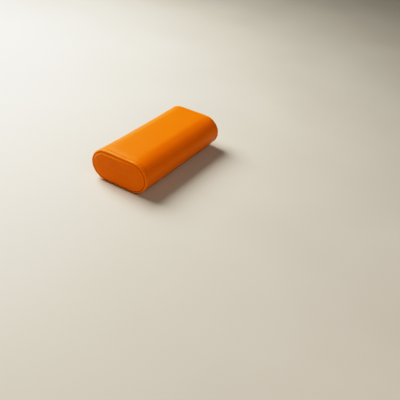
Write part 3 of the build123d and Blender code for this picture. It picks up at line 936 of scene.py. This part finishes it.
def stitch_shape(side):
    """The row of stitches above or below the zip, each dipping into its two needle holes."""
    shape = Shape()
    angle = side * STITCH_LINE / RADIUS
    along = np.array([-1.75, -1.45, -0.8, 0.0, 0.8, 1.45, 1.75])
    lift = np.array([-0.55, -0.12, 0.16, 0.22, 0.16, -0.12, -0.55]) - 0.28
    outward = np.array([0, math.cos(angle), math.sin(angle)])
    radius = RADIUS + lift
    for i in range(STITCH_COUNT):
        x = STITCH_PITCH * (i - (STITCH_COUNT - 1) / 2)
        path = np.stack([x + along, HALF_STRAIGHT + radius * outward[1], MID + radius * outward[2]], 1)
        shape.add(*tube(path, 0.27, 7, up=outward))
    return shape


def tack_shape():
    """Close rows of thread over both ends of the slot."""
    shape = Shape()
    half = STITCH_LINE / RADIUS
    turn = np.linspace(-half, half, 15)
    radius = RADIUS + 0.35 - 0.95 * (np.abs(turn) / half) ** 8
    y, z = HALF_STRAIGHT + radius * np.cos(turn), MID + radius * np.sin(turn)
    for end in (-1, 1):
        for i in range(7):
            x = end * (TACK_START + 0.7 * i) + 0.12 * math.sin(2.4 * i)
            path = np.stack([np.full(len(turn), x), y, z], 1)
            shape.add(*tube(path, 0.30, 7, up=(1, 0, 0)))
    return shape


def end_stitch_shape(node):
    """An end seam's stitches, which rise with the cover near the base."""
    thread_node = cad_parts[node]
    points = np.array([thread_node.matrix_world @ vertex.co for vertex in thread_node.data.vertices]) / MM
    points[:, 2] = lifted(points[:, 0], points[:, 2])
    return Shape().add(points, [list(face.vertices) for face in thread_node.data.polygons])


build_zip()
for side, word in ((1, "upper"), (-1, "lower")):
    piece("stitches_" + word, stitch_shape(side), THREAD, "zip_topstitch_" + word)
piece("bar_tacks", tack_shape(), THREAD, "zip_end_tacks")
for end in ("near", "far"):
    seam_node = "end_seam_thread_" + end
    piece("end_stitches_" + end, end_stitch_shape(seam_node), THREAD, seam_node, sharp=50)


# ---- slider, tab and stops


def add_plate(shape, x_span, z_span, corner, y_start, y_end, edge):
    """Adds a four-cornered plate with rounded corners and edges."""
    outline = rounded_outline(box_corners(*x_span, *sorted(z_span)), corner)
    shape.add(*outline_slab([outline], y_start, y_end, edge))


def build_slider():
    """Two plates with softened edges, side flanges, and the post between them."""
    (x_start, y_start, z_start), (x_end, y_end, z_end) = node_box("slider_body")
    reach = (z_end - z_start) / 2
    plate = 1.0
    shield = [(x_start, -0.62 * reach), (x_start + 2.2, -reach), (x_end, -0.82 * reach)]
    shield += [(x, -z) for x, z in shield[::-1]]
    outline = rounded_outline(shield, (1.2, 1.8, 1.6, 1.6, 1.8, 1.2))
    shape = Shape()
    shape.add(*outline_slab([outline], y_end - plate, y_end, 0.32))
    shape.add(*outline_slab([outline], y_start, y_start + plate, 0.25))
    rail, drop = (x_end - 9.6, x_end - 1.6), 1.8
    y_low, y_high = y_start + 0.5 * plate, y_end - 0.5 * plate
    for side in (-1, 1):
        z_span = (side * 0.75 * reach, side * 0.87 * reach)
        add_plate(shape, rail, z_span, 0.3, y_end - plate - drop, y_high, 0.15)
    add_plate(shape, (x_start + 0.9, x_start + 1.9), (-0.9, 0.9), 0.45, y_low, y_high, 0.15)
    piece("slider_shell", shape, NICKEL, "slider_body", "slider", 35)


def build_bail():
    """The arch that holds the tab: a flat strip, twice as broad across the zip as it is thick."""
    (x_start, y_start, _), (x_end, y_end, _) = node_box("slider_bail")
    thick = 0.5
    middle, reach = (x_start + x_end) / 2, (x_end - x_start) / 2 - thick
    rise = y_end - y_start - thick
    turn = np.linspace(math.pi, 0, 25)
    soft = 0.55  # below 1 the arch is squarer than a half circle
    x = middle + reach * np.sign(np.cos(turn)) * np.abs(np.cos(turn)) ** soft
    y = y_start + rise * np.sin(turn) ** soft
    foot = y_start - 0.4
    x, y = np.concatenate([x[:1], x, x[-1:]]), np.concatenate([[foot], y, [foot]])
    path = np.stack([x, y, np.full(len(x), MID)], 1)
    shape = Shape().add(*tube(path, thick, 12, flat=(1.0, 2.0), up=(0, 0, 1)))
    piece("slider_arch", shape, NICKEL, "slider_bail", "slider", 50)


def build_tab():
    """The pull tab: a plate with softened edges, an eye, a finger slot and a round pivot bar."""
    (x_start, y_start, z_start), (x_end, y_end, z_end) = node_box("pull_tab")
    bar = (y_end - y_start) / 2
    pivot, reach = x_start + bar, (z_end - z_start) / 2
    neck, shoulder = 0.78 * reach, pivot + 6.5
    corners = [(pivot, -neck), (shoulder, -reach), (x_end, -reach)]
    corners += [(x, -z) for x, z in corners[::-1]]
    outline = rounded_outline(corners, (0.5, 5.0, 2.4, 2.4, 5.0, 0.5))
    eye = rounded_outline(box_corners(pivot + 0.5, pivot + 4.7, -1.6, 1.6), 0.7)
    slot_start = pivot + 11.6
    finger_slot = rounded_outline(box_corners(slot_start, slot_start + 9.0, -1.5, 1.5), 1.48)
    shape = Shape().add(*outline_slab([outline, eye, finger_slot], y_start, y_end, 0.3))
    ends = np.array([-3.0, -2.9, -2.7, 2.7, 2.9, 3.0])
    path = np.stack([np.full(6, pivot), np.full(6, (y_start + y_end) / 2), MID + ends], 1)
    shape.add(*tube(path, bar * np.array([0.6, 0.9, 1.0, 1.0, 0.9, 0.6]), 14))
    piece("zip_tab", shape, NICKEL, "pull_tab", "tab", 35)


def build_stops():
    """The clips that stop the slider: one on each tape at the near end, one across both at the far end."""
    # each clip is a front, a back and the web that joins them through the tape
    (x_start, y_start, _), (x_end, y_end, z_end) = node_box("zip_top_stops")
    top = Shape()
    for side in (-1, 1):
        x_span, z_span = (x_start, x_end), (side * 0.7, side * (z_end - MID))
        add_plate(top, x_span, z_span, 0.45, y_end - 1.2, y_end, 0.3)
        add_plate(top, x_span, z_span, 0.45, y_start, y_start + 0.4, 0.12)
        x_span, z_span = (x_start + 0.2, x_end - 0.2), (side * 0.72, side * 1.12)
        add_plate(top, x_span, z_span, 0.1, y_start + 0.2, y_end - 0.6, 0.05)
    piece("top_stop_clips", top, PLASTIC, "zip_top_stops", sharp=35)
    (x_start, y_start, z_start), (x_end, y_end, z_end) = node_box("zip_bottom_stop")
    x_span, z_span = (x_start, x_end), (z_start - MID, z_end - MID)
    bottom = Shape()
    add_plate(bottom, x_span, z_span, 0.6, y_end - 1.8, y_end, 0.35)
    add_plate(bottom, x_span, z_span, 0.6, y_start, y_start + 0.6, 0.15)
    add_plate(bottom, (x_start + 0.2, x_end - 0.2), (-1.2, 1.2), 0.3, y_start + 0.3, y_end - 0.9, 0.1)
    piece("bottom_stop_clip", bottom, PLASTIC, "zip_bottom_stop", sharp=35)


build_slider()
build_bail()
build_tab()
build_stops()


# ---- CAD nodes that stay

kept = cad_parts["closing_seam_thread"]
kept.data.materials.clear()
kept.data.materials.append(THREAD[0])


# ---- studio

# the view that the proportions were fitted in, in degrees, millimetres of lens and metres
CAMERA_AZIMUTH = math.radians(-62.1308)
CAMERA_ELEVATION = math.radians(34.2467)
CAMERA_ROLL = math.radians(6.8947)
CAMERA_LENS = 50.79
CAMERA_PLACE = (-1.10068, -0.72431, 0.78035)


def build_camera():
    a, e, r = CAMERA_AZIMUTH, CAMERA_ELEVATION, CAMERA_ROLL
    back = Vector((math.sin(a) * math.cos(e), -math.cos(a) * math.cos(e), math.sin(e)))
    level = Vector((math.cos(a), math.sin(a), 0))
    upright = back.cross(level)
    right = level * math.cos(r) + upright * math.sin(r)
    up = upright * math.cos(r) - level * math.sin(r)
    camera = add_object("camera", bpy.data.cameras.new("camera"))
    camera.data.lens = CAMERA_LENS
    axes = Matrix((right, up, back)).transposed().to_4x4()
    camera.matrix_world = Matrix.Translation(CAMERA_PLACE) @ axes
    scene.camera = camera


def build_light(name, place, target, size, watts, colour):
    light = add_object(name, bpy.data.lights.new(name, "AREA"))
    light.data.shape = "DISK"
    light.data.size = size
    light.data.energy = watts
    light.data.color = colour
    light.location = place
    light.rotation_euler = (Vector(target) - Vector(place)).to_track_quat("-Z", "Y").to_euler()


def build_floor():
    n = Nodes("pale_floor")
    tone = n.noise(3.0, 4.0)
    colour = n.mix(n.span(tone, 0.3, 0.7), (0.56, 0.535, 0.48), (0.59, 0.565, 0.51))
    n.finish(colour, n.span(tone, 0.3, 0.7, 0.62, 0.72), n.bump(n.noise(500.0, 3.0), 0.0001, 0.1))
    mesh = bpy.data.meshes.new("floor")
    half = 6.0
    corners = [(-half, -half, 0), (half, -half, 0), (half, half, 0), (-half, half, 0)]
    mesh.from_pydata(corners, [], [(0, 1, 2, 3)])
    mesh.materials.append(n.material)
    floor = add_object("floor", mesh)
    floor.location.z = -0.0002


def build_world():
    world = bpy.data.worlds.new("studio")
    world.use_nodes = True
    nodes, links = world.node_tree.nodes, world.node_tree.links
    background = nodes["Background"]
    background.inputs["Color"].default_value = (1.0, 0.90, 0.78, 1.0)
    # dim overhead, pale near the horizon
    direction = nodes.new("ShaderNodeTexCoord")
    parts = nodes.new("ShaderNodeSeparateXYZ")
    fade = nodes.new("ShaderNodeMapRange")
    fade.interpolation_type = "SMOOTHSTEP"
    for socket, value in (("From Min", 0.0), ("From Max", 0.16), ("To Min", 0.22), ("To Max", 0.08)):
        fade.inputs[socket].default_value = value
    links.new(direction.outputs["Generated"], parts.inputs[0])
    links.new(parts.outputs["Z"], fade.inputs["Value"])
    links.new(fade.outputs["Result"], background.inputs["Strength"])
    scene.world = world


# points of the curve shared by all colours, then of the blue curve
TONES = ((0.0, 0.0), (0.06, 0.042), (0.25, 0.235), (0.45, 0.46), (0.80, 0.75), (1.3, 0.90), (2.2, 0.98))
BLUE_TOE = ((0.012, 0.004), (0.05, 0.045))


def film_curve():
    """A film-like response in each colour: a short toe, and a shoulder that holds the highlights."""
    scene.view_settings.use_curve_mapping = True
    mapping = scene.view_settings.curve_mapping
    mapping.clip_max_x = mapping.clip_max_y = TONES[-1][0]
    curve = mapping.curves[3]
    curve.points[0].location = TONES[0]
    curve.points[1].location = TONES[-1]
    for tone in TONES[1:-1]:
        curve.points.new(*tone)
    for tone in BLUE_TOE:
        mapping.curves[2].points.new(*tone)
    mapping.update()


build_camera()
build_floor()
build_world()
LIGHT_TARGET = (0, 0, 0.05)
WARM = (1.0, 0.88, 0.76)
build_light("key", (0.15, 1.46, 1.43), LIGHT_TARGET, 1.5, 77.0, (1.0, 0.98, 0.90))
build_light("side_fill", (-0.55, -1.25, 1.3), LIGHT_TARGET, 1.0, 8.7, WARM)
build_light("end_fill", (-2.2, -0.4, 0.45), LIGHT_TARGET, 1.0, 4.3, WARM)
scene.view_settings.view_transform = "Standard"
film_curve()
